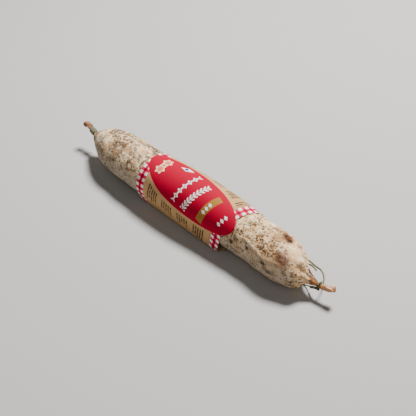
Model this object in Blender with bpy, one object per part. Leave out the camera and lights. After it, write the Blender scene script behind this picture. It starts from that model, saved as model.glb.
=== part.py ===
"""A small dry-cured sausage in its paper band, tied with twine at both ends.

Metres, +Z up. The sausage lies along X with its drooping end at +X, and the slack side of the band faces -Y.
"""

import functools
import math

import bmesh
import bpy
import numpy as np
from mathutils import Vector, noise

# The gap that two touching pieces keep
GAP = 0.0003

# Stations down the middle of the sausage, from one tail's tip to the other's: x, y, z and the skin's radius there
FAR_TAIL = (
    (-0.1023, -0.0011, 0.0158, 0.0003),
    (-0.1021, -0.0007, 0.0160, 0.0012),
    (-0.1009, 0.0005, 0.0166, 0.0018),
    (-0.0987, 0.0011, 0.0166, 0.0017),
    (-0.0963, 0.0007, 0.0158, 0.0015),
)
BODY = (
    (-0.0957, 0.0005, 0.0156, 0.0011),
    (-0.0913, -0.0001, 0.0145, 0.0011),
    (-0.0901, -0.0002, 0.0143, 0.0021),
    (-0.0876, -0.0006, 0.0142, 0.0039),
    (-0.0831, -0.0007, 0.0142, 0.0070),
    (-0.0761, -0.0005, 0.0142, 0.0108),
    (-0.0671, -0.0009, 0.0143, 0.0130),
    (-0.0531, -0.0010, 0.0145, 0.0140),
    (-0.0371, -0.0013, 0.0147, 0.0142),
    (-0.0031, 0.0001, 0.0152, 0.0149),
    (0.0209, 0.0015, 0.0146, 0.0141),
    (0.0369, 0.0017, 0.0139, 0.0135),
    (0.0509, 0.0017, 0.0136, 0.0131),
    (0.0649, 0.0013, 0.0136, 0.0132),
    (0.0729, 0.0009, 0.0127, 0.0123),
    (0.0789, 0.0008, 0.0116, 0.0101),
    (0.0829, 0.0014, 0.0108, 0.0072),
    (0.0857, 0.0022, 0.0105, 0.0042),
    (0.0892, 0.0029, 0.0098, 0.0025),
    (0.0918, 0.0034, 0.0092, 0.0015),
    (0.0926, 0.0035, 0.0089, 0.0011),
    (0.0945, 0.0038, 0.0089, 0.0011),
)
NEAR_TAIL = (
    (0.0953, 0.0040, 0.0090, 0.0017),
    (0.0974, 0.0045, 0.0094, 0.0016),
    (0.0994, 0.0051, 0.0099, 0.0018),
    (0.1015, 0.0059, 0.0104, 0.0018),
    (0.1025, 0.0064, 0.0106, 0.0012),
    (0.1027, 0.0065, 0.0107, 0.0003),
)
RINGS_PER_SPAN = 2
SKIN_SIDES = 36
# The casing's low lumps, which fade out over LUMP_FADE beside the band and the tails, and the pleats where it
# gathers into the drooping tail
LUMP_HEIGHT = 0.0005
LUMP_SIZE = 0.009
LUMP_FADE = 0.005
PLEATS = 7
PLEAT_DEPTH = 0.12
PLEAT_START, PLEAT_END = 0.078, 0.092

# The paper band: where its two edges cross the sausage, how far they slant across it (a rise in x for each
# unit of y and of z) and its paper
BAND_FAR, BAND_NEAR = -0.0330, 0.0381
FAR_SLANT, NEAR_SLANT = (0.0, 0.03), (0.28, 0.20)
BAND_PAPER = 0.0003
BAND_PLAY = 0.00015
BAND_AROUND, BAND_ALONG = 72, 10
# No point of the band's edges is further than this past the two places above
BAND_MARGIN = 0.008
# The slack fold of the band, which lies on the ground at the front
FOLD_Y, FOLD_RADIUS = -0.0083, 0.0045
# The printed oval on the band laid flat: its middle (x, and the way round from the top to the front), its half
# length and width, its turn, how far its middle bows to the front, and between which turns from its tip the end
# lies that is die-cut past the band's +X edge
OVAL_MIDDLE = (0.0044, 0.0061)
OVAL_HALF = (0.0373, 0.0145)
OVAL_TURN = math.radians(10.2)
OVAL_BOW = 0.0022
OVAL_END = (math.radians(-88), math.radians(68))
# The sausage lies on the band, and keeps this height over the ground all along
UNDERSIDE = BAND_PAPER + GAP

# Twine
TWINE = 0.0008
FAR_TIE_TURNS, NEAR_TIE_TURNS = 5, 2
FAR_TIE_AT, NEAR_TIE_AT = -0.0935, 0.0937
TIE_SIDES = 16
KNOT_AT = Vector((0.0939, 0.0028, 0.0070))
KNOT_SIZE = (0.0011, 0.0009, 0.0008)
TAG_END = Vector((0.0901, 0.0021, 0.0050))
# The two free strands. The long one comes down behind the tail, runs along the ground and doubles back
LONG_STRAND = (
    (0.0930, 0.0062, 0.0090),
    (0.0927, 0.0077, 0.0085),
    (0.0918, 0.0102, 0.0068),
    (0.0901, 0.0132, 0.0043),
    (0.0879, 0.0161, 0.0021),
    (0.0855, 0.0185, 0.0009),
    (0.0831, 0.0201, 0.0005),
    (0.0809, 0.0208, 0.0005),
    (0.0785, 0.0208, 0.0005),
    (0.0761, 0.0210, 0.0005),
    (0.0737, 0.0215, 0.0005),
    (0.0715, 0.0213, 0.0005),
    (0.0698, 0.0199, 0.0005),
    (0.0694, 0.0181, 0.0005),
    (0.0711, 0.0166, 0.0005),
    (0.0729, 0.0179, 0.0005),
    (0.0745, 0.0195, 0.0005),
    (0.0763, 0.0197, 0.0005),
    (0.0783, 0.0193, 0.0005),
    (0.0801, 0.0185, 0.0005),
)
SHORT_STRAND = (
    (0.0929, 0.0036, 0.0065),
    (0.0903, 0.0037, 0.0055),
    (0.0887, 0.0040, 0.0043),
    (0.0869, 0.0043, 0.0030),
    (0.0844, 0.0049, 0.0012),
    (0.0832, 0.0050, 0.0007),
    (0.0821, 0.0051, 0.0005),
    (0.0797, 0.0060, 0.0005),
    (0.0777, 0.0074, 0.0005),
    (0.0757, 0.0089, 0.0005),
    (0.0737, 0.0101, 0.0005),
    (0.0715, 0.0108, 0.0005),
    (0.0692, 0.0112, 0.0005),
    (0.0669, 0.0114, 0.0005),
    (0.0646, 0.0115, 0.0005),
)
STRAND_STEP = 2.2 * TWINE


def smooth(stations, per_span):
    """Points on a smooth curve through the stations: cubic spans, each cut into per_span pieces.

    No value swings past the stations on either side of it, so a stretch of one radius stays straight.
    """
    known = np.array(stations)
    span = np.linalg.norm(np.diff(known[:, :3], axis=0), axis=1)
    rate = np.diff(known, axis=0) / span[:, None]
    before, after = span[:-1, None], span[1:, None]
    mean = (rate[:-1] * after + rate[1:] * before) / (before + after)
    slope = np.vstack((rate[:1], np.where(rate[:-1] * rate[1:] > 0, mean, 0), rate[-1:]))
    points = [known[0]]
    for i, length in enumerate(span):
        for t in np.arange(1, per_span + 1) / per_span:
            ends = known[i] * (1 + 2 * t) * (1 - t) ** 2 + known[i + 1] * t * t * (3 - 2 * t)
            bends = slope[i] * t * (1 - t) ** 2 - slope[i + 1] * t * t * (1 - t)
            points.append(ends + bends * length)
    return np.array(points)


def evenly(points, step):
    """The same curve with points about step apart along it."""
    along = np.concatenate(([0], np.cumsum(np.linalg.norm(np.diff(points[:, :3], axis=0), axis=1))))
    at = np.linspace(0, along[-1], max(2, round(along[-1] / step) + 1))
    return np.stack([np.interp(at, along, column) for column in points.T], axis=1)


@functools.cache
def body_line():
    """Close points down the middle of the body, with its radius."""
    return smooth(BODY, 12)


def middle(x):
    """The middle of the sausage and its radius at x."""
    return np.array([np.interp(x, body_line()[:, 0], column) for column in body_line().T])


def finish(name, colour, roughness):
    """A material with one colour."""
    material = bpy.data.materials.new(name)
    material.use_nodes = True
    shader = material.node_tree.nodes["Principled BSDF"]
    shader.inputs["Base Color"].default_value = (*colour, 1)
    shader.inputs["Roughness"].default_value = roughness
    return material


def add_mesh(name, shape, material):
    """An object made of the bmesh, shaded smooth."""
    bmesh.ops.recalc_face_normals(shape, faces=shape.faces[:])
    mesh = bpy.data.meshes.new(name)
    shape.to_mesh(mesh)
    shape.free()
    mesh.shade_smooth()
    mesh.materials.append(material)
    obj = bpy.data.objects.new(name, mesh)
    bpy.context.scene.collection.objects.link(obj)
    return obj


def loft(rings, capped):
    """A bmesh skin over rings of points, closed round each ring, with both ends filled where capped."""
    shape = bmesh.new()
    loops = [[shape.verts.new(point) for point in ring] for ring in rings]
    for one, two in zip(loops, loops[1:]):
        for i, vert in enumerate(one):
            shape.faces.new((vert, one[i - 1], two[i - 1], two[i]))
    if capped:
        shape.faces.new(loops[0])
        shape.faces.new(loops[-1])
    return shape


def lump(point, x):
    """How far the casing stands out at a point: low lumps that fade out beside the band and on the tails."""
    from_band = max(BAND_FAR - x, x - BAND_NEAR)
    from_tails = min(x - BODY[1][0], BODY[-2][0] - x)
    share = min(1, max(0, from_band / LUMP_FADE), max(0, from_tails / LUMP_FADE))
    return LUMP_HEIGHT * share * noise.noise(Vector(point) / LUMP_SIZE)


def pleat(x, angle):
    """The share by which the gathered casing folds in and out round the cone of the drooping tail."""
    share = (x - PLEAT_START) / (PLEAT_END - PLEAT_START)
    return PLEAT_DEPTH * math.sin(math.pi * min(1, max(0, share))) * math.cos(PLEATS * angle)


def make_sausage():
    """The stuffed casing and both its tails, one skin from tip to tip."""
    stations = smooth(FAR_TAIL + BODY + NEAR_TAIL, RINGS_PER_SPAN)
    tangents = np.gradient(stations[:, :3], axis=0)
    rings = []
    for (x, y, z, radius), tangent in zip(stations, tangents):
        side = Vector((0, 0, 1)).cross(Vector(tangent)).normalized()
        up = Vector(tangent).cross(side).normalized()
        ring = []
        for i in range(SKIN_SIDES):
            angle = 2 * math.pi * i / SKIN_SIDES
            out = side * math.sin(angle) + up * math.cos(angle)
            reach = radius * (1 + pleat(x, angle))
            point = Vector((x, y, z)) + out * reach
            point += out * lump(point, x)
            point.z = max(point.z, UNDERSIDE)
            ring.append(point)
        rings.append(ring)
    return add_mesh("sausage", loft(rings, True), finish("casing", (0.62, 0.52, 0.42), 0.75))


def band_section(x):
    """The band's outline across the sausage at x.

    It returns y and z of points evenly spaced round it, from its top to the front and under, and its whole length.
    """
    _, y, z, radius = middle(x)
    turn = np.linspace(0, 2 * math.pi, 721)[:-1] + math.pi / 2
    outward = np.stack((np.cos(turn), np.sin(turn)), axis=1)
    centres = np.array(((y, z), (FOLD_Y, FOLD_RADIUS)))
    radii = np.array((radius + GAP + BAND_PLAY + BAND_PAPER, FOLD_RADIUS))
    touching = np.argmax(outward @ centres.T + radii, axis=1)
    outline = centres[touching] + outward * radii[touching, None]
    outline[:, 1] = np.maximum(outline[:, 1], 0)
    closed = np.vstack((outline, outline[:1]))
    along = np.concatenate(([0], np.cumsum(np.linalg.norm(np.diff(closed, axis=0), axis=1))))
    at = along[-1] * np.arange(BAND_AROUND) / BAND_AROUND
    return np.stack([np.interp(at, along, column) for column in closed.T], axis=1), along[-1]


def oval_reach(way):
    """The x of the printed oval's +X end, for a way round the band from its top to the front."""
    turn = np.linspace(*OVAL_END, 79)
    length = OVAL_HALF[0] * np.cos(turn)
    width = OVAL_HALF[1] * np.sin(turn) + OVAL_BOW * np.sin(turn) ** 2
    x = OVAL_MIDDLE[0] + length * math.cos(OVAL_TURN) - width * math.sin(OVAL_TURN)
    around = OVAL_MIDDLE[1] + length * math.sin(OVAL_TURN) + width * math.cos(OVAL_TURN)
    return np.interp(way, around, x, left=BAND_FAR, right=BAND_FAR)


def make_label():
    """The paper band: one tube, tight over the top and slack at the front."""
    stations = np.linspace(BAND_FAR - BAND_MARGIN, BAND_NEAR + BAND_MARGIN, 24)
    sections = np.array([band_section(x)[0] for x in stations])
    _, middle_y, middle_z, _ = middle(BAND_NEAR)
    near_section, length = band_section(BAND_NEAR)
    columns = []
    for i, (y, z) in enumerate(near_section):
        way = length * i / BAND_AROUND
        rise_far, rise_near = (
            slant[0] * (y - middle_y) + slant[1] * (z - middle_z) for slant in (FAR_SLANT, NEAR_SLANT)
        )
        near = max(BAND_NEAR + rise_near, oval_reach(way - length * (way > length / 2)))
        along = np.linspace(BAND_FAR + rise_far, near, BAND_ALONG + 1)
        columns.append([Vector((x, *(np.interp(x, stations, sections[:, i, k]) for k in (0, 1)))) for x in along])
    obj = add_mesh("label", loft(list(zip(*columns)), False), finish("paper", (0.70, 0.06, 0.08), 0.55))
    paper = obj.modifiers.new("paper", "SOLIDIFY")
    paper.thickness = BAND_PAPER
    paper.offset = -1
    paper.use_even_offset = True
    return obj


def wound_ring(turns, inner):
    """A bmesh ring round Z: turns of twine side by side, smooth inside."""
    length = turns * TWINE
    profile = [(inner, -length / 2), (inner, length / 2)]
    for turn in reversed(range(turns)):
        middle_z = (turn + 0.5) * TWINE - length / 2
        for angle in (60, 0, -60):
            swell = math.radians(angle)
            radius = inner + TWINE * (0.5 + 0.5 * math.cos(swell))
            profile.append((radius, middle_z + TWINE / 2 * math.sin(swell)))
    rings = []
    for side in range(TIE_SIDES):
        angle = 2 * math.pi * side / TIE_SIDES
        rings.append([Vector((r * math.cos(angle), r * math.sin(angle), z)) for r, z in profile])
    return loft(rings + rings[:1], False)


def make_tie(name, at_x, turns, material):
    """A tie's wound turns, square to the neck that they pinch."""
    x, y, z, radius = middle(at_x)
    shape = wound_ring(turns, radius + GAP)
    bmesh.ops.remove_doubles(shape, verts=shape.verts[:], dist=1e-7)
    obj = add_mesh(name, shape, material)
    along = Vector(middle(at_x + 0.0005)[:3]) - Vector(middle(at_x - 0.0005)[:3])
    obj.location = (x, y, z)
    obj.rotation_mode = "QUATERNION"
    obj.rotation_quaternion = along.to_track_quat("Z", "Y")
    return obj


def join(parts, name, material):
    """One solid out of overlapping ones."""
    helpers = bpy.data.collections.new(name)
    bpy.context.scene.collection.children.link(helpers)
    base = parts[0]
    for part in parts[1:]:
        bpy.context.scene.collection.objects.unlink(part)
        helpers.objects.link(part)
    union = base.modifiers.new("union", "BOOLEAN")
    union.operation = "UNION"
    union.operand_type = "COLLECTION"
    union.collection = helpers
    bpy.context.view_layer.update()
    mesh = bpy.data.meshes.new_from_object(base.evaluated_get(bpy.context.evaluated_depsgraph_get()))
    mesh.transform(base.matrix_world)
    for part in parts:
        bpy.data.objects.remove(part)
    bpy.data.collections.remove(helpers)
    mesh.shade_smooth()
    mesh.materials.clear()
    mesh.materials.append(material)
    obj = bpy.data.objects.new(name, mesh)
    bpy.context.scene.collection.objects.link(obj)
    return obj


def make_near_tie(material):
    """Two turns of twine, the knot under them and the knot's short tag."""
    ring = make_tie("near_tie_ring", NEAR_TIE_AT, NEAR_TIE_TURNS, material)
    knot = bmesh.new()
    bmesh.ops.create_icosphere(knot, subdivisions=2, radius=1)
    bmesh.ops.scale(knot, vec=KNOT_SIZE, verts=knot.verts[:])
    bmesh.ops.translate(knot, vec=KNOT_AT, verts=knot.verts[:])
    tag = bmesh.new()
    run = TAG_END - KNOT_AT
    bmesh.ops.create_cone(tag, cap_ends=True, segments=8, radius1=TWINE / 2, radius2=TWINE / 2, depth=run.length)
    bmesh.ops.transform(tag, matrix=run.to_track_quat("Z", "Y").to_matrix().to_4x4(), verts=tag.verts[:])
    bmesh.ops.translate(tag, vec=(KNOT_AT + TAG_END) / 2, verts=tag.verts[:])
    pieces = [ring, add_mesh("knot", knot, material), add_mesh("tag", tag, material)]
    return join(pieces, "near_tie", material)


def make_strand(name, route, material):
    """A free strand of twine, as a tube along the route."""
    points = evenly(smooth(route, 8), STRAND_STEP)
    curve = bpy.data.curves.new(name, "CURVE")
    curve.dimensions = "3D"
    curve.bevel_depth = TWINE / 2
    curve.bevel_resolution = 2
    curve.use_fill_caps = True
    spline = curve.splines.new("POLY")
    spline.points.add(len(points) - 1)
    for place, point in zip(spline.points, points):
        place.co = (*point, 1)
    curve.materials.append(material)
    obj = bpy.data.objects.new(name, curve)
    bpy.context.scene.collection.objects.link(obj)
    return obj


def main():
    for obj in list(bpy.data.objects):
        bpy.data.objects.remove(obj)
    make_sausage()
    make_label()
    twine = finish("twine", (0.30, 0.29, 0.20), 0.9)
    make_tie("far_tie", FAR_TIE_AT, FAR_TIE_TURNS, twine)
    make_near_tie(twine)
    make_strand("long_strand", LONG_STRAND, twine)
    make_strand("short_strand", SHORT_STRAND, twine)


main()
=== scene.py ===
"""The looks of a small dry-cured sausage: bloomed casing, a printed paper band and twisted twine.

Metres, +Z up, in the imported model's frame. The sausage lies along X with its drooping end at +X, and the slack
side of the band faces -Y.
"""

import functools
import math

import bmesh
import bpy
import numpy as np
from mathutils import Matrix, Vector, noise


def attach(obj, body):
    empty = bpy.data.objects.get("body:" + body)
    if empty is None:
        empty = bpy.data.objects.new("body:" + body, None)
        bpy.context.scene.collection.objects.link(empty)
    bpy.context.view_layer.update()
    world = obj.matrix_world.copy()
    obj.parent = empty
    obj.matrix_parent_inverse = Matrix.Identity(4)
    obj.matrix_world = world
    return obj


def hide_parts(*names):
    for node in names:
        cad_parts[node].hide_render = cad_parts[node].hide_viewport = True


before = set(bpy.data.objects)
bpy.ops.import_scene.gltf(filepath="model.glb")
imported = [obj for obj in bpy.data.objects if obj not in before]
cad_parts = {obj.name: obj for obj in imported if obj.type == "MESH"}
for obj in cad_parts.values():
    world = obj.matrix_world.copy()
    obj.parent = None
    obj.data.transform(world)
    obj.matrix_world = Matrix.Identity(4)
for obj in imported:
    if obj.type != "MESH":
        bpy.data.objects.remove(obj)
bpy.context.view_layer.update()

# The solids' own sizes
GAP = 0.0003
FAR_TAIL = (
    (-0.1023, -0.0011, 0.0158, 0.0003),
    (-0.1021, -0.0007, 0.0160, 0.0012),
    (-0.1009, 0.0005, 0.0166, 0.0018),
    (-0.0987, 0.0011, 0.0166, 0.0017),
    (-0.0963, 0.0007, 0.0158, 0.0015),
)
BODY = (
    (-0.0957, 0.0005, 0.0156, 0.0011),
    (-0.0913, -0.0001, 0.0145, 0.0011),
    (-0.0901, -0.0002, 0.0143, 0.0021),
    (-0.0876, -0.0006, 0.0142, 0.0039),
    (-0.0831, -0.0007, 0.0142, 0.0070),
    (-0.0761, -0.0005, 0.0142, 0.0108),
    (-0.0671, -0.0009, 0.0143, 0.0130),
    (-0.0531, -0.0010, 0.0145, 0.0140),
    (-0.0371, -0.0013, 0.0147, 0.0142),
    (-0.0031, 0.0001, 0.0152, 0.0149),
    (0.0209, 0.0015, 0.0146, 0.0141),
    (0.0369, 0.0017, 0.0139, 0.0135),
    (0.0509, 0.0017, 0.0136, 0.0131),
    (0.0649, 0.0013, 0.0136, 0.0132),
    (0.0729, 0.0009, 0.0127, 0.0123),
    (0.0789, 0.0008, 0.0116, 0.0101),
    (0.0829, 0.0014, 0.0108, 0.0072),
    (0.0857, 0.0022, 0.0105, 0.0042),
    (0.0892, 0.0029, 0.0098, 0.0025),
    (0.0918, 0.0034, 0.0092, 0.0015),
    (0.0926, 0.0035, 0.0089, 0.0011),
    (0.0945, 0.0038, 0.0089, 0.0011),
)
NEAR_TAIL = (
    (0.0953, 0.0040, 0.0090, 0.0017),
    (0.0974, 0.0045, 0.0094, 0.0016),
    (0.0994, 0.0051, 0.0099, 0.0018),
    (0.1015, 0.0059, 0.0104, 0.0018),
    (0.1025, 0.0064, 0.0106, 0.0012),
    (0.1027, 0.0065, 0.0107, 0.0003),
)
LUMP_HEIGHT = 0.0005
LUMP_SIZE = 0.009
LUMP_FADE = 0.005
PLEATS = 7
PLEAT_DEPTH = 0.12
PLEAT_START, PLEAT_END = 0.078, 0.092
BAND_FAR, BAND_NEAR = -0.0330, 0.0381
FAR_SLANT, NEAR_SLANT = (0.0, 0.03), (0.28, 0.20)
BAND_PAPER = 0.0003
BAND_PLAY = 0.00015
BAND_MARGIN = 0.008
FOLD_Y, FOLD_RADIUS = -0.0083, 0.0045
OVAL_MIDDLE = (0.0044, 0.0061)
OVAL_HALF = (0.0373, 0.0145)
OVAL_TURN = math.radians(10.2)
OVAL_BOW = 0.0022
OVAL_END = (math.radians(-88), math.radians(68))
UNDERSIDE = BAND_PAPER + GAP
TWINE = 0.0008
FAR_TIE_TURNS, NEAR_TIE_TURNS = 5, 2
FAR_TIE_AT, NEAR_TIE_AT = -0.0935, 0.0937
KNOT_AT = Vector((0.0939, 0.0028, 0.0070))
KNOT_SIZE = (0.0011, 0.0009, 0.0008)
TAG_END = Vector((0.0901, 0.0021, 0.0050))
LONG_STRAND = (
    (0.0930, 0.0062, 0.0090),
    (0.0927, 0.0077, 0.0085),
    (0.0918, 0.0102, 0.0068),
    (0.0901, 0.0132, 0.0043),
    (0.0879, 0.0161, 0.0021),
    (0.0855, 0.0185, 0.0009),
    (0.0831, 0.0201, 0.0005),
    (0.0809, 0.0208, 0.0005),
    (0.0785, 0.0208, 0.0005),
    (0.0761, 0.0210, 0.0005),
    (0.0737, 0.0215, 0.0005),
    (0.0715, 0.0213, 0.0005),
    (0.0698, 0.0199, 0.0005),
    (0.0694, 0.0181, 0.0005),
    (0.0711, 0.0166, 0.0005),
    (0.0729, 0.0179, 0.0005),
    (0.0745, 0.0195, 0.0005),
    (0.0763, 0.0197, 0.0005),
    (0.0783, 0.0193, 0.0005),
    (0.0801, 0.0185, 0.0005),
)
SHORT_STRAND = (
    (0.0929, 0.0036, 0.0065),
    (0.0903, 0.0037, 0.0055),
    (0.0887, 0.0040, 0.0043),
    (0.0869, 0.0043, 0.0030),
    (0.0844, 0.0049, 0.0012),
    (0.0832, 0.0050, 0.0007),
    (0.0821, 0.0051, 0.0005),
    (0.0797, 0.0060, 0.0005),
    (0.0777, 0.0074, 0.0005),
    (0.0757, 0.0089, 0.0005),
    (0.0737, 0.0101, 0.0005),
    (0.0715, 0.0108, 0.0005),
    (0.0692, 0.0112, 0.0005),
    (0.0669, 0.0114, 0.0005),
    (0.0646, 0.0115, 0.0005),
)

# The camera, at the photograph's viewing angle, and the studio
EYE = Vector((0.28619, -0.26845, 0.35252))
LOOK_AT = Vector((0.01053, 0.00150, 0.01357))
LENS = 76.15
# Lamps: the way each one shines from, its distance, its size and its power
LAMPS = (
    ("key", (-0.10, 0.50, 1.00), 0.9, 0.24, 20),
    ("fill", (0.5, -0.8, 1.1), 1.2, 0.8, 1.7),
)
SKY_STRENGTH = 0.09
FLOOR_SIZE = 6.0

# Pieces that each span of a smooth curve is cut into
SPAN_PIECES = 12
# The skin's mesh: the step along the sausage and the faces round it
SKIN_STEP = 0.00047
SKIN_SIDES = 176
# The relief of the bloom, and the size of the cells that may each hold a dark pit
BLOOM_HEIGHT = 0.00022
PIT_CELL = 0.0042
# Folds finer than the pleats, with depths as shares of the radius. The tails' grow in beyond the necks over a short
# run and twist, in radians per metre. The far cone's fade out on both sides of a middle
RUMPLE_FAR, RUMPLE_NEAR = -0.0955, 0.0945
RUMPLE_GROWTH = 0.0010
RUMPLE_DEPTH, RUMPLE_TWIST = 0.085, 260
CONE_MIDDLE, CONE_REACH = -0.0875, 0.0045
CONE_DEPTH = 0.035
# The sheet of the band: steps along it, points round it, the places along it where its outline is worked out, and
# its thickness
SHEET_ALONG, SHEET_AROUND = 90, 300
SHEET_STATIONS = 30
SHEET_PAPER = BAND_PAPER * 0.8
# Its lapped seam: where it starts, as a share of the way round from the top to the front, how far it laps, how far the
# lap stands off and the run over which it rises to that
SEAM_AT = -0.40
LAP = 0.008
LAP_RISE, LAP_RUN = 0.0004, 0.003
# Low waves of the paper, which stand out from the tight tube, and a flare within reach of its edges
WAVE_HEIGHT = 0.00022
WAVE_SIZE, FLARE_SIZE = 0.014, 0.006
FLARE_REACH = 0.003
# A crease that runs along the near half of the skin, as points on it, with its height and half width
CREASE = (
    (0.0463, -0.0090, 0.0220),
    (0.0516, -0.0089, 0.0217),
    (0.0569, -0.0096, 0.0206),
    (0.0602, -0.0100, 0.0201),
    (0.0644, -0.0105, 0.0196),
    (0.0686, -0.0103, 0.0198),
    (0.0726, -0.0091, 0.0199),
    (0.0773, -0.0079, 0.0187),
)
CREASE_HEIGHT = 0.00050
CREASE_HALF = 0.0009
CREASE_MARGIN = 0.003
# The shade below the crease: how far it reaches, over how much of that it fades and how soon it sets in
SHADE_REACH, SHADE_FADE, SHADE_START = 0.0055, 0.0035, 0.0006
# The knot's tag, as points along it, close beside the short strand
TAG = (
    (0.0939, 0.0028, 0.0070),
    (0.0922, 0.0029, 0.0060),
    (0.0904, 0.0031, 0.0050),
    (0.0888, 0.0034, 0.0038),
    (0.0879, 0.0036, 0.0031),
)
# The twine: its plies, the length in which they turn once, each ply's radius and how far the ply lies from the
# twine's middle, both as shares of the twine's thickness, the step along it and the length of a frayed end
PLIES = 3
LAY = 0.0030
PLY_RADIUS, PLY_OFFSET = 0.29, 0.21
TWINE_STEP = 0.00016
FRAY_LENGTH = 0.0014
# The step along a free strand's route
ROUTE_STEP = 0.0003
# Points in one turn of a winding and in the knot, and how far a winding's ends are tucked in
TURN_POINTS, KNOT_POINTS = 32, 72
TUCK = 0.0004
# Millimetres in a metre
MM = 1000
# The print on the band, in millimetres: its squares, the border of three rows of them, the pitch of the small rows
# and half the blur of an edge
CHECK = 2.1
BORDER = CHECK * 3
PRINT_PITCH = 1.75
EDGE = 0.06
# The oval's motifs: the middle of each one on the flat band, in millimetres, and the turned ones' angles
FLOWERS = ((-21.4, 5.7), (-21.3, -0.5))
MARK = ((-8.1, -3.5), math.radians(-10))
LOZENGES = ((0.0, 7.6), math.radians(-76.5))
LEAVES = ((8.8, 9.9), math.radians(-71.1))
GOLD_BAR = ((20.1, 11.6), math.radians(-73.2))
LAST_ROW = ((32.2, 12.0), math.radians(-67.6))


def tone(red, green, blue):
    """A colour given as it shows on a screen, 0 to 255, as the shader wants it."""
    return tuple(
        (share / 12.92 if share <= 0.04045 else ((share + 0.055) / 1.055) ** 2.4)
        for share in (red / 255, green / 255, blue / 255)
    ) + (1.0,)


POWDER = tone(255, 231, 190)
BLOOM = tone(250, 203, 148)
# The grey painted as shade low at the front of the casing and below its crease
PAINTED_SHADE_GREY = tone(152, 145, 134)
THIN_BLOOM = tone(200, 156, 108)
FAR_THIN = tone(160, 134, 108)
OCHRE = tone(112, 72, 42)
RUST = tone(122, 62, 26)
FAR_BROWN = tone(96, 74, 54)
UMBER = tone(50, 34, 22)
MEAT = tone(104, 54, 42)
AMBER = tone(180, 112, 54)
AMBER_DARK = tone(84, 48, 24)
ROSE = tone(204, 136, 116)
RED = tone(178, 2, 46)
KRAFT = tone(202, 160, 111)
GOLD = tone(164, 118, 54)
WHITE_INK = tone(252, 248, 242)
PINK = tone(214, 44, 76)
CHECK_RED = tone(160, 2, 44)
PRINT_BROWN = tone(44, 32, 24)
MOTIF_CREAM = tone(250, 214, 172)
MOTIF_ORANGE = tone(232, 112, 76)
DOT_BLUE = tone(34, 68, 142)
PAPER_BACK = tone(196, 172, 138)
TWINE_LIGHT = tone(168, 166, 138)
TWINE_DARK = tone(96, 96, 70)
LOOSE_LIGHT = tone(204, 197, 158)
LOOSE_DARK = tone(62, 64, 42)
# The twine of the near tie and the short strand: darker than the loose strand, partly as damp twine and partly as
# painted shade
DAMP_SHADED_LIGHT = tone(98, 100, 70)
DAMP_SHADED_DARK = tone(38, 42, 28)
FLOOR_TONE = tone(184, 182, 179)

# Patches on the skin: where each one is, how far it reaches, its colour and how strong it is
PATCHES = (
    ((0.0682, 0.0052, 0.0258), 0.0050, RUST, 0.95),
    ((0.0669, 0.0055, 0.0260), 0.0024, UMBER, 0.90),
    ((0.0705, 0.0045, 0.0255), 0.0021, UMBER, 0.90),
    ((0.0749, -0.0067, 0.0217), 0.0054, MEAT, 0.85),
    ((0.0716, -0.0074, 0.0221), 0.0034, OCHRE, 0.45),
    ((0.0653, -0.0114, 0.0168), 0.0017, UMBER, 0.85),
    ((0.0675, -0.0118, 0.0140), 0.0024, OCHRE, 0.60),
    ((0.0706, -0.0117, 0.0133), 0.0020, UMBER, 0.85),
    ((0.0734, -0.0112, 0.0138), 0.0024, OCHRE, 0.60),
    ((0.0788, -0.0086, 0.0157), 0.0018, UMBER, 0.55),
    ((0.0420, -0.0112, 0.0168), 0.0018, UMBER, 0.85),
    ((0.0438, -0.0104, 0.0196), 0.0024, OCHRE, 0.60),
    ((0.0527, -0.0107, 0.0184), 0.0014, UMBER, 0.75),
    ((0.0825, -0.0012, 0.0191), 0.0018, OCHRE, 0.35),
    ((0.0640, 0.0020, 0.0266), 0.0040, THIN_BLOOM, 0.55),
    ((-0.0582, -0.0106, 0.0242), 0.0023, THIN_BLOOM, 0.95),
    ((-0.0501, -0.0069, 0.0274), 0.0027, THIN_BLOOM, 0.95),
    ((-0.0560, -0.0059, 0.0274), 0.0028, OCHRE, 0.65),
    ((-0.0649, -0.0089, 0.0250), 0.0026, THIN_BLOOM, 0.90),
    ((-0.0691, -0.0125, 0.0192), 0.0022, OCHRE, 0.60),
    ((-0.0408, -0.0029, 0.0288), 0.0026, THIN_BLOOM, 0.80),
    ((-0.0642, -0.0134, 0.0098), 0.0016, UMBER, 0.40),
    ((-0.0600, 0.0110, 0.0210), 0.0040, THIN_BLOOM, 0.85),
    ((0.0560, 0.0130, 0.0170), 0.0042, RUST, 0.50),
    ((0.0700, 0.0110, 0.0080), 0.0030, MEAT, 0.55),
    ((-0.0700, 0.0100, 0.0090), 0.0032, OCHRE, 0.60),
)
# Zones of the skin where flecks lie closer, or where fewer lie than elsewhere: the place, the reach and by how much
ZONES = (
    ((0.0594, -0.0050, 0.0250), 0.0110, 0.05),
    ((0.0494, -0.0028, 0.0261), 0.0080, 0.05),
    ((0.0668, -0.0056, 0.0247), 0.0090, 0.07),
    ((0.0608, 0.0009, 0.0267), 0.0090, 0.05),
    ((0.0451, -0.0077, 0.0233), 0.0070, 0.05),
    ((0.0418, 0.0019, 0.0271), 0.0070, -0.12),
    ((0.0739, 0.0009, 0.0252), 0.0070, -0.16),
    ((0.0776, 0.0025, 0.0237), 0.0070, -0.14),
    ((0.0832, -0.0006, 0.0186), 0.0070, -0.16),
    ((0.0852, -0.0015, 0.0110), 0.0080, -0.16),
    ((0.0760, -0.0088, 0.0150), 0.0080, -0.10),
    ((-0.0590, -0.0099, 0.0249), 0.0100, 0.05),
    ((-0.0681, 0.0003, 0.0269), 0.0060, 0.05),
    ((-0.0740, -0.0080, 0.0230), 0.0070, 0.02),
    ((-0.0442, -0.0122, 0.0237), 0.0080, -0.07),
    ((-0.0416, -0.0006, 0.0287), 0.0070, -0.07),
    ((-0.0569, 0.0030, 0.0277), 0.0060, -0.06),
    ((0.0600, 0.0110, 0.0100), 0.0100, 0.08),
    ((-0.0650, 0.0100, 0.0120), 0.0100, 0.06),
)
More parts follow.
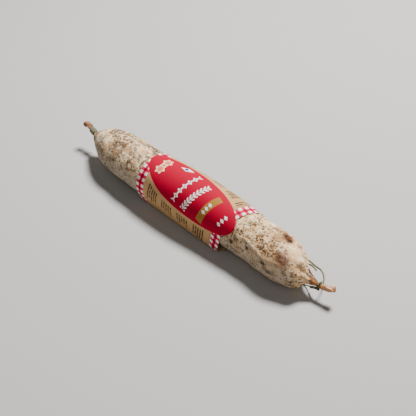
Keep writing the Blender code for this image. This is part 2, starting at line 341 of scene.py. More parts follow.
# Small dark spots on the skin: where each one is and its radius
SPOTS = (
    ((0.0419, -0.0113, 0.0160), 0.0009),
    ((0.0429, -0.0078, 0.0235), 0.0006),
    ((0.0547, 0.0003, 0.0268), 0.0010),
    ((0.0559, -0.0060, 0.0246), 0.0007),
    ((0.0533, -0.0105, 0.0187), 0.0006),
    ((0.0669, -0.0115, 0.0167), 0.0008),
    ((0.0671, 0.0056, 0.0260), 0.0009),
    ((0.0713, 0.0046, 0.0254), 0.0009),
    ((0.0844, -0.0052, 0.0166), 0.0005),
    ((-0.0647, -0.0017, 0.0274), 0.0008),
    ((-0.0620, -0.0024, 0.0277), 0.0006),
    ((-0.0531, -0.0119, 0.0231), 0.0008),
    ((-0.0661, -0.0134, 0.0182), 0.0007),
    ((-0.0378, -0.0016, 0.0290), 0.0006),
    ((-0.0568, -0.0138, 0.0197), 0.0006),
    ((-0.0448, -0.0125, 0.0235), 0.0006),
    ((-0.0520, 0.0120, 0.0190), 0.0007),
    ((0.0630, 0.0128, 0.0180), 0.0008),
)


class Value:
    """A socket of a node tree. An expression on values adds its Math nodes."""

    def __init__(self, graph, socket):
        self.graph, self.socket = graph, socket

    def __add__(self, other):
        return self.graph.maths("ADD", self, other)

    def __sub__(self, other):
        return self.graph.maths("SUBTRACT", self, other)

    def __rsub__(self, other):
        return self.graph.maths("SUBTRACT", other, self)

    def __mul__(self, other):
        return self.graph.maths("MULTIPLY", self, other)

    def __truediv__(self, other):
        return self.graph.maths("DIVIDE", self, other)

    def __mod__(self, other):
        return self.graph.maths("FLOORED_MODULO", self, other)

    def __pow__(self, other):
        return self.graph.maths("POWER", self, other)

    def __abs__(self):
        return self.graph.maths("ABSOLUTE", self)

    def __floor__(self):
        return self.graph.maths("FLOOR", self)

    __radd__, __rmul__ = __add__, __mul__

    def most(self, other):
        return self.graph.maths("MAXIMUM", self, other)

    def ramp(self, start, end):
        """0 at start, 1 at end and even in between, whichever of them is the larger."""
        sockets = {"Value": self, "From Min": start, "From Max": end}
        return self.graph.node("ShaderNodeMapRange", {"clamp": True}, sockets)

    def part(self, axis):
        """The x, y or z of a vector."""
        return self.graph.node("ShaderNodeSeparateXYZ", {}, {0: self}, axis)


class Graph:
    """A tree of nodes as it is written, for a material or for a modifier."""

    def __init__(self, tree):
        self.tree = tree

    def node(self, kind, settings=None, sockets=None, output=0):
        """One output of a new node: its settings come first, then its sockets' values or links."""
        node = self.tree.nodes.new(kind)
        for name, setting in (settings or {}).items():
            setattr(node, name, setting)
        for key, value in (sockets or {}).items():
            if isinstance(value, Value):
                self.tree.links.new(value.socket, node.inputs[key])
            else:
                node.inputs[key].default_value = value
        return Value(self, node.outputs[output])

    def maths(self, operation, *terms):
        return self.node("ShaderNodeMath", {"operation": operation}, dict(enumerate(terms)))

    def blend(self, share, first, second):
        """The first colour where the share is 0, the second where it is 1."""
        return self.node("ShaderNodeMix", {"data_type": "RGBA"}, {0: share, 6: first, 7: second}, 2)

    def vector(self, operation, *terms):
        return self.node("ShaderNodeVectorMath", {"operation": operation}, dict(enumerate(terms)))

    def scaled(self, vector, share):
        return self.node("ShaderNodeVectorMath", {"operation": "SCALE"}, {0: vector, "Scale": share})

    def distance(self, place, point):
        return self.node("ShaderNodeVectorMath", {"operation": "DISTANCE"}, {0: place, 1: point}, 1)

    def noise(self, place, size, detail=2.0, roughness=0.5, output=0):
        """Noise from 0 to 1 with features about as large as size."""
        sockets = {"Vector": place, "Scale": 1 / size, "Detail": detail, "Roughness": roughness}
        return self.node("ShaderNodeTexNoise", {}, sockets, output)

    def warped(self, place, size, reach):
        """The place, moved about by noise up to about half the reach."""
        moves = self.vector("SUBTRACT", self.noise(place, size, output=1), (0.5, 0.5, 0.5))
        return self.vector("ADD", place, self.scaled(moves, reach))


class Finish(Graph):
    """A material as it is written, with one Principled shader."""

    def __init__(self, name, gloss=0.5):
        self.material = bpy.data.materials.new(name)
        self.material.use_nodes = True
        super().__init__(self.material.node_tree)
        self.shader = self.tree.nodes["Principled BSDF"]
        self.shader.inputs["Specular IOR Level"].default_value = gloss

    def place(self):
        return self.node("ShaderNodeTexCoord", output="Object")

    def attribute(self, name):
        return self.node("ShaderNodeAttribute", {"attribute_name": name}, output="Fac")

    def done(self, colour, roughness, height=None, depth=0.0):
        """Feeds the shader. The height, 0 to 1, is worked into the surface as a relief of that depth."""
        sockets = {"Base Color": colour, "Roughness": roughness}
        if height is not None:
            sockets["Normal"] = self.node("ShaderNodeBump", {}, {"Height": height, "Distance": depth})
        for name, value in sockets.items():
            if isinstance(value, Value):
                self.tree.links.new(value.socket, self.shader.inputs[name])
            else:
                self.shader.inputs[name].default_value = value
        return self.material


class Grower(Graph):
    """A geometry tree as it is written: geometry and named numbers in, one plain mesh out."""

    def __init__(self, name, **sockets):
        super().__init__(bpy.data.node_groups.new(name, "GeometryNodeTree"))
        for way in ("INPUT", "OUTPUT"):
            self.tree.interface.new_socket("Geometry", in_out=way, socket_type="NodeSocketGeometry")
        for label, kind in sockets.items():
            self.tree.interface.new_socket(label, in_out="INPUT", socket_type=kind)
        entry = self.tree.nodes.new("NodeGroupInput")
        self.given = {socket.name: Value(self, socket) for socket in entry.outputs if socket.name}

    def keep(self, geometry, name, value):
        """The geometry with the value stored on its points under that name."""
        sockets = {"Geometry": geometry, "Name": name, "Value": value}
        return self.node("GeometryNodeStoreNamedAttribute", {"data_type": "FLOAT", "domain": "POINT"}, sockets)

    def done(self, geometry, material):
        smooth_faces = self.node("GeometryNodeSetShadeSmooth", {}, {0: geometry})
        real = self.node("GeometryNodeRealizeInstances", {}, {0: smooth_faces})
        finished = self.node("GeometryNodeSetMaterial", {}, {"Geometry": real, "Material": material})
        self.tree.links.new(finished.socket, self.tree.nodes.new("NodeGroupOutput").inputs[0])
        return self

    def grow(self, name, source, **numbers):
        """The plain mesh that the tree makes of the source object, which goes."""
        modifier = source.modifiers.new(name, "NODES")
        modifier.node_group = self.tree
        for item in self.tree.interface.items_tree:
            if item.name in numbers and item.in_out == "INPUT":
                modifier[item.identifier] = numbers[item.name]
        found = source.evaluated_get(bpy.context.evaluated_depsgraph_get())
        mesh = bpy.data.meshes.new_from_object(found)
        bpy.data.objects.remove(source)
        return show(name, mesh)


def show(name, mesh):
    obj = bpy.data.objects.new(name, mesh)
    bpy.context.scene.collection.objects.link(obj)
    return obj


def clamp(share):
    """The share, kept from 0 to 1."""
    return min(1.0, max(0.0, share))


def smooth(stations, per_span):
    """Points on a smooth curve through the stations: cubic spans, each cut into per_span pieces.

    No value swings past the stations on either side of it, so a stretch of one radius stays straight.
    """
    known = np.array(stations)
    span = np.linalg.norm(np.diff(known[:, :3], axis=0), axis=1)
    rate = np.diff(known, axis=0) / span[:, None]
    before, after = span[:-1, None], span[1:, None]
    mean = (rate[:-1] * after + rate[1:] * before) / (before + after)
    slope = np.vstack((rate[:1], np.where(rate[:-1] * rate[1:] > 0, mean, 0), rate[-1:]))
    points = [known[0]]
    for i, length in enumerate(span):
        for t in np.arange(1, per_span + 1) / per_span:
            ends = known[i] * (1 + 2 * t) * (1 - t) ** 2 + known[i + 1] * t * t * (3 - 2 * t)
            bends = slope[i] * t * (1 - t) ** 2 - slope[i + 1] * t * t * (1 - t)
            points.append(ends + bends * length)
    return np.array(points)


def evenly(points, step):
    """The same curve with points about step apart along it."""
    along = np.concatenate(([0], np.cumsum(np.linalg.norm(np.diff(points[:, :3], axis=0), axis=1))))
    at = np.linspace(0, along[-1], max(2, round(along[-1] / step) + 1))
    return np.stack([np.interp(at, along, column) for column in points.T], axis=1)


@functools.cache
def body_line():
    """Close points down the middle of the body, with its radius."""
    return smooth(BODY, SPAN_PIECES)


def middle(x):
    """The middle of the sausage and its radius at x."""
    return np.array([np.interp(x, body_line()[:, 0], column) for column in body_line().T])


def loft(rings, round_rings):
    """A mesh over rows of points; closed round each row, with a fan at both ends, where round_rings."""
    shape = bmesh.new()
    loops = [[shape.verts.new(point) for point in ring] for ring in rings]
    for one, two in zip(loops, loops[1:]):
        for i in range(0 if round_rings else 1, len(one)):
            shape.faces.new((one[i], one[i - 1], two[i - 1], two[i]))
    if round_rings:
        for loop in (loops[0], loops[-1]):
            tip = shape.verts.new(sum((vert.co for vert in loop), Vector()) / len(loop))
            for i, vert in enumerate(loop):
                shape.faces.new((vert, loop[i - 1], tip))
    bmesh.ops.recalc_face_normals(shape, faces=shape.faces[:])
    mesh = bpy.data.meshes.new("loft")
    shape.to_mesh(mesh)
    shape.free()
    mesh.shade_smooth()
    return mesh


def store(mesh, name, values):
    mesh.attributes.new(name, "FLOAT", "POINT").data.foreach_set("value", np.asarray(values, np.float32))


def lump(point, x):
    """How far the casing stands out at a point: low lumps that fade out beside the band and on the tails."""
    from_band = max(BAND_FAR - x, x - BAND_NEAR)
    from_tails = min(x - BODY[1][0], BODY[-2][0] - x)
    share = clamp(min(from_band, from_tails) / LUMP_FADE)
    return LUMP_HEIGHT * share * noise.noise(Vector(point) / LUMP_SIZE)


def pleat(x, angle):
    """The share by which the gathered casing folds in and out round the cone of the drooping tail."""
    share = clamp((x - PLEAT_START) / (PLEAT_END - PLEAT_START))
    return PLEAT_DEPTH * math.sin(math.pi * share) * math.cos(PLEATS * angle)


def rumple(x, angle):
    """The share by which the dried tails and the far cone fold, finer than the near cone's pleats."""
    tail = clamp(max(x - RUMPLE_NEAR, RUMPLE_FAR - x) / RUMPLE_GROWTH)
    cone = clamp(1 - abs(x - CONE_MIDDLE) / CONE_REACH)
    twisted = angle + RUMPLE_TWIST * (x - 0.09)
    waves = math.cos(4 * twisted) + 0.6 * math.cos(7 * twisted + 1.3)
    return RUMPLE_DEPTH * tail * waves + CONE_DEPTH * cone * math.cos(11 * angle + 40 * x)


def off_crease(point):
    """The distance from a point to the crease, the share of its run there and how far above it the point is."""
    line = np.array(CREASE)
    best = (1.0, 0.0, 0.0)
    for i, (start, end) in enumerate(zip(line, line[1:])):
        run = end - start
        t = float(np.clip((point - start) @ run / (run @ run), 0, 1))
        off = point - start - run * t
        best = min(best, (float(np.linalg.norm(off)), (i + t) / (len(line) - 1), float(off[2])))
    return best


def creased(point):
    """How far the crease stands up at a point and how deep its shade is there, both from 0 to 1."""
    away, share, above = off_crease(np.array(point))
    fade = math.sin(math.pi * clamp(share)) ** 0.5
    ridge = math.exp(-((away / CREASE_HALF) ** 2)) * fade
    return ridge, fade * clamp(-above / SHADE_START) * clamp((SHADE_REACH - away) / SHADE_FADE)


def make_skin(material):
    """The casing and both its tails as one fine skin, with the crease and the raised bloom."""
    stations = evenly(smooth(FAR_TAIL + BODY + NEAR_TAIL, SPAN_PIECES), SKIN_STEP)
    tangents = np.gradient(stations[:, :3], axis=0)
    rings, creases, shades = [], [], []
    for (x, y, z, radius), tangent in zip(stations, tangents):
        side = Vector((0, 0, 1)).cross(Vector(tangent)).normalized()
        up = Vector(tangent).cross(side).normalized()
        ring = []
        near_crease = CREASE[0][0] - CREASE_MARGIN < x < CREASE[-1][0] + CREASE_MARGIN
        for i in range(SKIN_SIDES):
            angle = 2 * math.pi * i / SKIN_SIDES
            out = side * math.sin(angle) + up * math.cos(angle)
            point = Vector((x, y, z)) + out * radius * (1 + pleat(x, angle) + rumple(x, angle))
            point += out * lump(point, x)
            ridge, shade = creased(point) if near_crease and point.y < 0 else (0.0, 0.0)
            point += out * CREASE_HEIGHT * ridge
            point.z = max(point.z, UNDERSIDE)
            creases.append(ridge)
            shades.append(shade)
            ring.append(point)
        rings.append(ring)
    mesh = loft(rings, True)
    tips = [0.0, 0.0]
    # The crease's height, and the shade painted below it, kept on the skin for its finish
    store(mesh, "crease", creases + tips)
    store(mesh, "under", shades + tips)
    return bloom_grower(material).grow("casing", show("skin", mesh), Height=BLOOM_HEIGHT)


def bloom_of(graph, place):
    """How thin the bloom lies, 0 to 1: wide drifts that a fine net breaks up."""
    drift = graph.noise(place, 0.0085, 2.0)
    net = graph.noise(place, 0.0026, 4.0, 0.65)
    return drift * 0.28 + net * 0.72


def bloom_grower(material):
    """Raises the bloom off the skin where it lies thick and sinks it where it is thin.

    bloom_of swings by about an eighth either way, so four times its swing is half the height.
    """
    grower = Grower("bloom", Height="NodeSocketFloat")
    place = grower.node("GeometryNodeInputPosition")
    rise = grower.given["Height"] * (0.5 - bloom_of(grower, place)) * 4.0
    normal = grower.node("GeometryNodeInputNormal")
    sockets = {"Geometry": grower.given["Geometry"], "Offset": grower.scaled(normal, rise)}
    return grower.done(grower.node("GeometryNodeSetPosition", {}, sockets), material)


def stained(skin, colour, bent, grain):
    """The colour with the patches on it, which the grain breaks up."""
    broken = grain.ramp(0.28, 0.42)
    for point, reach, stain, strength in PATCHES:
        edge = skin.distance(bent, point).ramp(reach * 1.15, reach * 0.45)
        colour = skin.blend(edge * strength * broken, colour, stain)
    return colour


def pits_of(skin, place, bent):
    """How dark the skin is pitted, 0 to 1: a pit in under half of the cells, and the spots at their own places."""
    cells = {"Vector": bent, "Scale": 1 / PIT_CELL}
    pit = skin.node("ShaderNodeTexVoronoi", {}, cells).ramp(0.19, 0.08)
    chosen = skin.node("ShaderNodeTexVoronoi", {}, cells, "Color").part(0).ramp(0.52, 0.60)
    nudged = skin.warped(place, 0.0012, 0.0010)
    spots = (skin.distance(nudged, point).ramp(reach * 1.2, reach * 0.6) for point, reach in SPOTS)
    return functools.reduce(Value.most, spots, pit * chosen * 0.8)


def gathered_casing(skin, place, grain, far):
    """Where the casing is gathered at both ends, 0 to 1, its streaks and its colour there."""
    x, y, z = (place.part(axis) for axis in range(3))
    streaks = skin.noise(skin.vector("MULTIPLY", place, (0.15, 1, 1)), 0.0017, 2.0)
    # On the near cone it sets in sooner high up, and low down at the back
    wander = (skin.noise(place, 0.004) - 0.5) * 0.005
    high = z.ramp(0.0060, 0.0150) * 0.0045
    low_behind = y.ramp(0.003, 0.005) * z.ramp(0.0155, 0.0140) * 0.003
    near_end = (x + wander + high + low_behind).ramp(0.0901, 0.0919)
    gathered = near_end.most((x + wander).ramp(-0.0892, -0.0925))
    # Before the tie its front is amber and its back dark
    past = x.ramp(0.0930, 0.0950)
    lit = (y - z * 0.3 - (x - 0.0890) * 0.5).ramp(-0.0008, -0.0016).most(past).most(far)
    amber = skin.blend(streaks.ramp(0.36, 0.52).most(past * 0.6) * lit, AMBER_DARK, AMBER)
    # The upper side of the drooping tip is rosy, and bloom dusts it
    rosy = x.ramp(0.0966, 0.0980) * (z - x * 0.5).ramp(-0.0396, -0.0388)
    amber = skin.blend(rosy * 0.8, amber, ROSE)
    dust = (grain + rosy * 0.09).ramp(0.60, 0.64)
    return gathered, streaks, skin.blend(dust * 0.85, amber, POWDER)


def casing_finish():
    """Cream bloom in drifts over browned casing, ochre flecks, dark pits, and amber where it is gathered."""
    skin = Finish("casing", gloss=0.3)
    place = skin.place()
    bent = skin.warped(place, 0.0022, 0.0026)
    x, y, z = (place.part(axis) for axis in range(3))
    thin = bloom_of(skin, place)
    grain = skin.noise(place, 0.0011, 4.0, 0.7)
    crumb = skin.noise(bent, 0.0019, 4.0, 0.68)
    far = x.ramp(0.0, -0.045)
    drift = (skin.noise(place, 0.010, 2.0) - 0.5) * 0.8
    for point, reach, lift in ZONES:
        drift = drift + skin.distance(place, point).ramp(reach, reach * 0.3) * lift
    # Where shade is painted: low at the front, setting in higher at the far end, and below the crease
    low = ((z - far * 0.003).ramp(0.0225, 0.0130) * y.ramp(-0.002, -0.009)).most(skin.attribute("under"))
    # Fewer flecks and less mist show where the shade is painted
    dry = 1 - low * 0.65

    # The bloom, with shade painted into it: greyer low at the front and below the crease
    colour = skin.blend(skin.noise(place, 0.0032, 2.0).ramp(0.45, 0.58), BLOOM, POWDER)
    colour = skin.blend(low * 0.75, colour, PAINTED_SHADE_GREY)
    # The casing that shows through it, from wide drifts down to grit
    mist = (thin + drift * 0.6).ramp(0.45, 0.55) * dry
    colour = skin.blend(mist * 0.75, colour, skin.blend(far, THIN_BLOOM, FAR_THIN))
    specks = (grain + (thin - 0.5) * 0.45 + drift * 0.4).ramp(0.545, 0.585)
    clumps = (crumb + (thin - 0.5) * 0.4 + drift * 0.3 + far * 0.05).ramp(0.59, 0.64)
    flecks = specks.most(clumps) * dry
    colour = skin.blend(flecks * 0.9, colour, skin.blend(far, OCHRE, FAR_BROWN))
    grit = (skin.noise(place, 0.0009, 3.0, 0.6) + (thin - 0.5) * 0.3 + drift * 0.3 + low * 0.03).ramp(0.60, 0.64)
    colour = skin.blend(grit * 0.9, colour, UMBER)
    colour = stained(skin, colour, bent, grain)
    pits = pits_of(skin, place, bent)
    colour = skin.blend(pits * 0.85, colour, UMBER)
    # A painted highlight: the crease's ridge is painted the plain bloom's cream
    colour = skin.blend(skin.attribute("crease") * 0.6, colour, BLOOM)
    gathered, streaks, amber = gathered_casing(skin, place, grain, far)
    colour = skin.blend(gathered * (0.95 - streaks.ramp(0.60, 0.68) * 0.4), colour, amber)

    roughness = 0.85 - gathered * 0.30 - thin.ramp(0.50, 0.62) * 0.08
    fine = skin.noise(place, 0.0004, 2.0)
    height = (1 - thin) * 0.5 + grain * 0.3 - grit * 0.1 + fine * 0.1 - pits * 0.35 + streaks * gathered * 0.2
    return skin.done(colour, roughness, height, 0.0013)


def band_section(x):
    """The band's outline across the sausage at x: y and z all round from its top to the front and under.

    It returns the closed outline and the way to each of its points, the last of which is its whole length.
    """
    _, y, z, radius = middle(x)
    turn = np.linspace(0, 2 * math.pi, 721)[:-1] + math.pi / 2
    outward = np.stack((np.cos(turn), np.sin(turn)), axis=1)
    centres = np.array(((y, z), (FOLD_Y, FOLD_RADIUS)))
    radii = np.array((radius + GAP + BAND_PLAY + BAND_PAPER, FOLD_RADIUS))
    touching = np.argmax(outward @ centres.T + radii, axis=1)
    outline = centres[touching] + outward * radii[touching, None]
    outline[:, 1] = np.maximum(outline[:, 1], 0)
    closed = np.vstack((outline, outline[:1]))
    along = np.concatenate(([0], np.cumsum(np.linalg.norm(np.diff(closed, axis=0), axis=1))))
    return closed, along


def round_band(x, shares):
    """Points of the band's outline at x for shares of the way round, the ways in metres, and outward directions."""
    closed, along = band_section(x)
    ways = shares * along[-1]

    def at(way):
        return np.stack([np.interp(way % along[-1], along, column) for column in closed.T], axis=1)

    run = at(ways + 0.0004) - at(ways - 0.0004)
    out = np.stack((run[:, 1], -run[:, 0]), axis=1)
    return at(ways), ways, -out / np.linalg.norm(out, axis=1)[:, None]


def oval_reach(way):
    """The x of the printed oval's +X end, for a way round the band from its top to the front."""
    turn = np.linspace(*OVAL_END, 235)
    length = OVAL_HALF[0] * np.cos(turn)
    width = OVAL_HALF[1] * np.sin(turn) + OVAL_BOW * np.sin(turn) ** 2
    x = OVAL_MIDDLE[0] + length * math.cos(OVAL_TURN) - width * math.sin(OVAL_TURN)
    around = OVAL_MIDDLE[1] + length * math.sin(OVAL_TURN) + width * math.cos(OVAL_TURN)
    return np.interp(way, around, x, left=BAND_FAR, right=BAND_FAR)


def make_band(printed, plain):
    """The paper band as one sheet wrapped round the sausage, lapped at the back."""
    length = band_section(BAND_NEAR)[1][-1]
    shares = SEAM_AT + np.linspace(0, 1 + LAP / length, SHEET_AROUND)
    stations = np.linspace(BAND_FAR - BAND_MARGIN, BAND_NEAR + BAND_MARGIN, SHEET_STATIONS)
    sections = [round_band(x, shares) for x in stations]
    points, ways, outward = (np.array([section[k] for section in sections]) for k in range(3))
    near_y, near_z = round_band(BAND_NEAR, shares)[0].T
    _, middle_y, middle_z, _ = middle(BAND_NEAR)
    rows = [[] for _ in range(SHEET_ALONG + 1)]
    around, from_far, from_near = ([[] for _ in rows] for _ in range(3))
    for i, share in enumerate(shares):
        rise_far, rise_near = (
            slant[0] * (near_y[i] - middle_y) + slant[1] * (near_z[i] - middle_z) for slant in (FAR_SLANT, NEAR_SLANT)
        )
        edge_far, edge_near = BAND_FAR + rise_far, BAND_NEAR + rise_near
        reach = max(edge_near, oval_reach(share * length))
        lapped = clamp((share - shares[0] - 1) * length / LAP_RUN + 1)
        for k, x in enumerate(np.linspace(edge_far, reach, SHEET_ALONG + 1)):
            y, z, out_y, out_z, way = (
                np.interp(x, stations, column)
                for column in (points[:, i, 0], points[:, i, 1], outward[:, i, 0], outward[:, i, 1], ways[:, i])
            )
            wave = 0.5 + 0.5 * noise.noise(Vector((x, y, z)) / WAVE_SIZE)
            to_edge = min(x - edge_far, reach - x)
            flare = 0.5 + 0.5 * noise.noise(Vector((x, y, z)) / FLARE_SIZE)
            flare *= clamp(1 - to_edge / FLARE_REACH) ** 2
            lift = LAP_RISE * lapped + WAVE_HEIGHT * (wave + flare)
            rows[k].append(Vector((x, y + out_y * lift, max(0.0, z + out_z * lift))))
            around[k].append(way)
            from_far[k].append(x - edge_far)
            from_near[k].append(edge_near - x)
    mesh = loft(rows, False)
    for name, values in (("around", around), ("from_far", from_far), ("from_near", from_near)):
        store(mesh, name, np.array(values).ravel())
    mesh.materials.append(printed)
    mesh.materials.append(plain)
    band = show("band", mesh)
    paper = band.modifiers.new("paper", "SOLIDIFY")
    paper.thickness = SHEET_PAPER
    paper.offset = -1
    paper.material_offset = 1
    paper.material_offset_rim = 1
    solid = bpy.data.meshes.new_from_object(band.evaluated_get(bpy.context.evaluated_depsgraph_get()))
    bpy.data.objects.remove(band)
    return show("band", solid)


def turned(x, s, centre, turn):
    """Places along and across a shape with that centre and turn on the flat band."""
    dx, ds = x - centre[0], s - centre[1]
    return dx * math.cos(turn) + ds * math.sin(turn), ds * math.cos(turn) - dx * math.sin(turn)


def bar(a, b, half_a, half_b):
    """A bar's mask, in millimetres, from places along and across it."""
    return (abs(a) - half_a).most(abs(b) - half_b).ramp(EDGE, -EDGE)


def lozenge(a, b, half_a, half_b):
    """A lozenge's mask, in millimetres."""
    return (abs(a) / half_a + abs(b) / half_b).ramp(1 + EDGE, 1 - EDGE)


def disc(a, b, radius):
    """A disc's mask, in millimetres."""
    return ((a * a + b * b) ** 0.5).ramp(radius + EDGE, radius - EDGE)


def every(a, pitch):
    """The place along a row, counted from the middle of the repeat that it is in."""
    return (a + pitch / 2) % pitch - pitch / 2


def rosette(paint, a, b, radius):
    """A flower's masks, in millimetres: six round petals, and the disc in their middle."""
    away = (a * a + b * b) ** 0.5
    wave = paint.maths("COSINE", paint.maths("ARCTAN2", b, a) * 6)
    return (away / (0.84 + wave * 0.16)).ramp(radius + EDGE, radius - EDGE), disc(a, b, radius * 0.52)


def three_lozenges(a, b, half_a, half_b):
    """Three lozenges side by side, cut out of an endless row."""
    return lozenge(every(a, 2.9), b, half_a, half_b) * bar(a, b, 4.3, half_b + 0.1)


def row_of_lozenges(a, b):
    """A row of tall white lozenges, each with an open middle, and a bead between each two."""
    tall = lozenge(every(a, 3.7), b, 1.35, 1.95) * (1 - lozenge(every(a, 3.7), b, 0.50, 0.75))
    beads = lozenge(every(a - 1.85, 3.7), b, 0.62, 0.75)
    return tall.most(beads) * bar(a, b, 11.2, 2.2)


def row_of_leaves(a, b):
    """A long white sprig: a stem with slanted leaves on both sides."""
    slant = every(a - abs(b) * 0.8, 2.4)
    leaves = ((slant / 0.72) ** 2 + ((abs(b) - 1.12) / 0.92) ** 2).ramp(1.1, 0.85)
    stem = bar(a, b, 10.6, 0.24)
    return leaves.most(stem) * bar(a, b, 10.9, 2.2)


def gingham(paint, colour, depth, across):
    """Three rows of check along an edge: white, pink where one stripe lies, red where two cross."""
    stripes = math.floor(depth / CHECK) % 2 + math.floor(across / CHECK) % 2
    check = paint.blend(stripes.ramp(0.5, 0.51), WHITE_INK, PINK)
    check = paint.blend(stripes.ramp(1.5, 1.51), check, CHECK_RED)
    return paint.blend(depth.ramp(BORDER + EDGE, BORDER - EDGE), colour, check)


def small_print(paint, along, across, start, end):
    """Rows of short dark dashes that run across the band, for places across it from start to end.

    Two rows in seven stay empty, and each row ends at its own place.
    """
    line = along / PRINT_PITCH
    number = math.floor(line)
    within = abs(line - number - 0.5).ramp(0.34, 0.24) * (number % 7).ramp(4.6, 4.4)
    spot = paint.node("ShaderNodeCombineXYZ", {}, {"X": number * 3.7, "Y": across * 0.9})
    dashes = paint.noise(spot, 1.0, 3.0, 0.75).ramp(0.41, 0.46)
    end_of_line = paint.node("ShaderNodeTexWhiteNoise", {"noise_dimensions": "1D"}, {"W": number}) * 4.0
    inside = across.ramp(start, start + 0.3) * (end - end_of_line - across).ramp(0, 0.3)
    return within * dashes * inside


def motifs(paint, colour, place, x, s, inside):
    """The colour with the oval's motifs on it, from its far end to its near one."""
    marbled = paint.noise(place, 0.0008, 2.0).ramp(0.54, 0.58)
    for centre in FLOWERS:
        petals, core = rosette(paint, x - centre[0], s - centre[1], 3.5)
        colour = paint.blend(petals, colour, MOTIF_CREAM)
        colour = paint.blend(petals * marbled * 0.5, colour, MOTIF_ORANGE)
        colour = paint.blend(core * (1 - marbled * 0.5), colour, MOTIF_ORANGE)
    mark_a, mark_b = turned(x, s, *MARK)
    colour = paint.blend(lozenge(mark_a, mark_b, 4.6, 1.9), colour, WHITE_INK)
    colour = paint.blend(disc(mark_a + 0.6, mark_b, 1.2), colour, DOT_BLUE)
    colour = paint.blend(row_of_lozenges(*turned(x, s, *LOZENGES)), colour, WHITE_INK)
    colour = paint.blend(row_of_leaves(*turned(x, s, *LEAVES)), colour, WHITE_INK)
    bar_a, bar_b = turned(x, s, *GOLD_BAR)
    arched = bar_b + 0.3 - bar_a * bar_a * 0.006
    colour = paint.blend(bar(bar_a, arched, 10.0, 2.3), colour, GOLD)
    colour = paint.blend(three_lozenges(bar_a, arched, 1.15, 1.5), colour, WHITE_INK)
    last = three_lozenges(*turned(x, s, *LAST_ROW), 1.1, 1.6)
    return paint.blend(last * inside, colour, WHITE_INK)


def band_finish():
    """The printed side: kraft paper, a checked border at both edges, and a red oval with white and gold motifs."""
    paint = Finish("printed_paper", gloss=0.04)
    place = paint.place()
    x = place.part(0) * MM
    s = paint.attribute("around") * MM
    fibre = paint.noise(place, 0.0009, 3.0, 0.65)
    cloud = paint.noise(place, 0.009, 2.0)

    colour = paint.blend(fibre.ramp(0.56, 0.72) * 0.35, KRAFT, PRINT_BROWN)
    colour = paint.blend(cloud.ramp(0.4, 0.75) * 0.12, colour, PRINT_BROWN)
    far = paint.attribute("from_far") * MM
    near = paint.attribute("from_near") * MM
    clear = far.ramp(BORDER + 0.8, BORDER + 1.0) * near.ramp(BORDER + 0.8, BORDER + 1.0)

    along, across = turned(x, s, (OVAL_MIDDLE[0] * MM, OVAL_MIDDLE[1] * MM), OVAL_TURN)
    share = (along / (OVAL_HALF[0] * MM)) ** 2
    bowed = (across - (1 - share) * (OVAL_BOW * MM)) / (OVAL_HALF[1] * MM)
    beside = (share * 0.92 + bowed ** 2 * 0.72).ramp(0.98, 1.02)
    front = small_print(paint, along, across, 10.0, 28.5)
    behind = small_print(paint, along + 0.7, across, -31.0, 4.0)
    colour = paint.blend(front.most(behind) * clear * beside * 0.9, colour, PRINT_BROWN)
    colour = gingham(paint, colour, far, s + 0.9)
    colour = gingham(paint, colour, near, s + near * 0.25)
    inside = (share + bowed ** 2).ramp(1.006, 0.994)
    colour = motifs(paint, paint.blend(inside, colour, RED), place, x, s, inside)
    return paint.done(colour, 0.72 - inside * 0.12, fibre * 0.6 + cloud * 0.4, 0.00006)


def paper_back_finish():
    """The unprinted side and the cut edges of the band."""
    paper = Finish("paper_back")
    fibre = paper.noise(paper.place(), 0.0009, 3.0, 0.65)
    return paper.done(paper.blend(fibre.ramp(0.4, 0.8), PAPER_BACK, KRAFT), 0.85, fibre, 0.00006)


def twine_finish(name, light, dark):
    """Plies of twisted fibre between a light and a dark colour."""
    yarn = Finish(name, gloss=0.25)
    along = yarn.attribute("along") * MM
    turn = yarn.attribute("around") * (2 * math.pi) + along * 2.6
    sockets = {"X": yarn.maths("COSINE", turn) * 1.4, "Y": yarn.maths("SINE", turn) * 1.4, "Z": along * 0.35}
    fibre = yarn.noise(yarn.node("ShaderNodeCombineXYZ", {}, sockets), 0.45, 3.0, 0.65)
    stain = yarn.noise(yarn.place(), 0.004, 2.0)
    colour = yarn.blend((fibre * 0.8 + stain * 0.2).ramp(0.34, 0.66), dark, light)
    return yarn.done(colour, 0.9, fibre, 0.00015)


def twine_grower(material):
    """Lays twisted plies along lines; they open out over the last of a line where Fray is more than 0."""
    kinds = {"Plies": "NodeSocketInt", "Twine": "NodeSocketFloat", "Lay": "NodeSocketFloat", "Fray": "NodeSocketFloat"}
    grower = Grower("twine", **kinds)
    plies, twine, lay, fray = (grower.given[label] for label in kinds)
    line = grower.node("GeometryNodeMeshToCurve", {}, {0: grower.given["Geometry"]})
    line = grower.node("GeometryNodeResampleCurve", {"mode": "LENGTH"}, {"Curve": line, "Length": TWINE_STEP})
    along = grower.node("GeometryNodeSplineParameter", output="Length")
    whole = grower.node("GeometryNodeSplineLength")
    line = grower.keep(line, "along", along)
    copies = grower.node("GeometryNodeDuplicateElements", {"domain": "SPLINE"}, {"Geometry": line, "Amount": plies})
    number = Value(grower, copies.socket.node.outputs["Duplicate Index"])
    turn = (along / lay + number / plies) * (2 * math.pi)
    opened = 1 + fray * (whole - along).ramp(FRAY_LENGTH, 0.0)
    reach = twine * PLY_OFFSET * opened
    normal = grower.node("GeometryNodeInputNormal")
    sideways = grower.vector("CROSS_PRODUCT", grower.node("GeometryNodeInputTangent"), normal)
    offset = grower.vector(
        "ADD",
        grower.scaled(normal, grower.maths("COSINE", turn) * reach),
        grower.scaled(sideways, grower.maths("SINE", turn) * reach),
    )
    wound = grower.node("GeometryNodeSetPosition", {}, {"Geometry": copies, "Offset": offset})
    ring = grower.node("GeometryNodeCurvePrimitiveCircle", {}, {"Resolution": 9, "Radius": twine * PLY_RADIUS})
    ring = grower.keep(ring, "around", grower.node("GeometryNodeSplineParameter"))
    tubes = grower.node("GeometryNodeCurveToMesh", {}, {"Curve": wound, "Profile Curve": ring, "Fill Caps": True})
    return grower.done(tubes, material)


